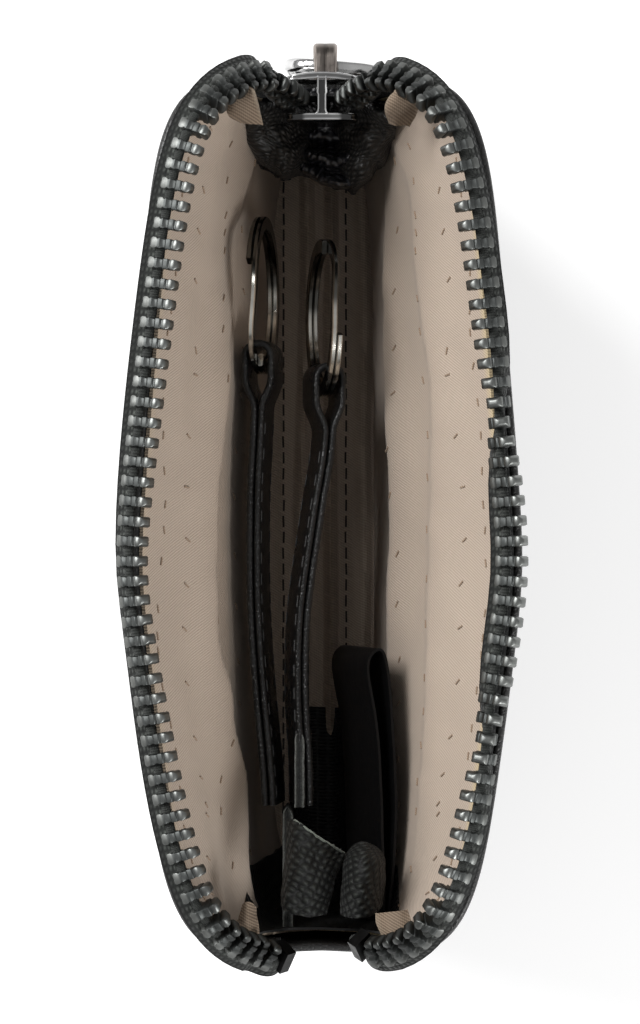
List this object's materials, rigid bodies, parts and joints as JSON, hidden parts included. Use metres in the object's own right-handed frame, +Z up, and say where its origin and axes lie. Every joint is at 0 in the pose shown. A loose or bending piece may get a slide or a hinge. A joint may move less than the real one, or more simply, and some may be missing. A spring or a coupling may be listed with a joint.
{
  "type": "zip key case",
  "caption": "Small black leather zip key case standing open on its flat base, with a twill lining and leather straps that carry split rings.",
  "frame": {"origin": "middle of the underside of the flat base, where the case stands", "axes": "+X along the case towards the zip slider, +Y towards the back wall, +Z up out of the mouth"},
  "size_m": [0.1212, 0.0523, 0.0674],
  "materials": {
    "leather": "black leather with a fine pebbled grain, soft gloss",
    "board": "plain stiffening board, hidden",
    "lining": "fine beige twill, soft sheen",
    "zip_tape": "black woven zip tape",
    "zip_metal": "gunmetal plated brass, bright on the worn edges",
    "slider_metal": "bright nickel plated zinc",
    "crown_metal": "brushed dark nickel",
    "pull_metal": "dark chrome plated zinc",
    "raw_leather": "black leather with a raw grey cut edge",
    "strap_leather": "smooth black leather with glossy painted edges",
    "ring_steel": "polished nickel plated spring steel",
    "satin": "black satin ribbon"
  },
  "bodies": {
    "root": {"panel_back": "leather", "panel_front": "leather", "base_gusset": "leather", "base_stiffener": "board", "lining_back": "lining", "lining_front": "lining", "lining_base": "lining", "tape_back": "zip_tape", "tape_front": "zip_tape", "teeth_back": "zip_metal", "teeth_front": "zip_metal", "top_stop_back": "zip_metal", "top_stop_front": "zip_metal", "bottom_stop": "zip_metal", "strap_anchor": "raw_leather", "ribbon_label": "satin"},
    "slider": {"slider_body": "slider_metal", "slider_crown": "crown_metal"},
    "pull": {"pull_tab": "pull_metal"},
    "back_strap": {"strap_back": "strap_leather"},
    "front_strap": {"strap_front": "strap_leather"},
    "back_ring": {"ring_back": "ring_steel"},
    "front_ring": {"ring_front": "ring_steel"}
  },
  "joints": [
    {"name": "slider_travel", "type": "slide", "parent": "root", "child": "slider", "axis": [0, 0, 1], "range_m": [0, 0.006], "deforming": ["tape_back", "tape_front", "teeth_back", "teeth_front"]},
    {"name": "pull_swing", "type": "hinge", "parent": "slider", "child": "pull", "pos_m": [0.05881, 0, 0.03875], "axis": [0, -1, 0], "range_deg": [0, 150]},
    {"name": "strap_back_lift", "type": "hinge", "parent": "root", "child": "back_strap", "pos_m": [-0.0345, 0.0064, 0.035], "axis": [0, -1, 0], "range_deg": [0, 65]},
    {"name": "strap_front_lift", "type": "hinge", "parent": "root", "child": "front_strap", "pos_m": [-0.0345, 0.0006, 0.035], "axis": [0, -1, 0], "range_deg": [0, 65]},
    {"name": "ring_back_swing", "type": "hinge", "parent": "back_strap", "child": "back_ring", "pos_m": [0.0197, 0.0079, 0.035], "axis": [0, 0.1392, 0.9903], "range_deg": [-5, 1.5]},
    {"name": "ring_front_swing", "type": "hinge", "parent": "front_strap", "child": "front_ring", "pos_m": [0.0167, -0.0003, 0.035], "axis": [0, -0.1736, 0.9848], "range_deg": [-10, 2]}
  ]
}
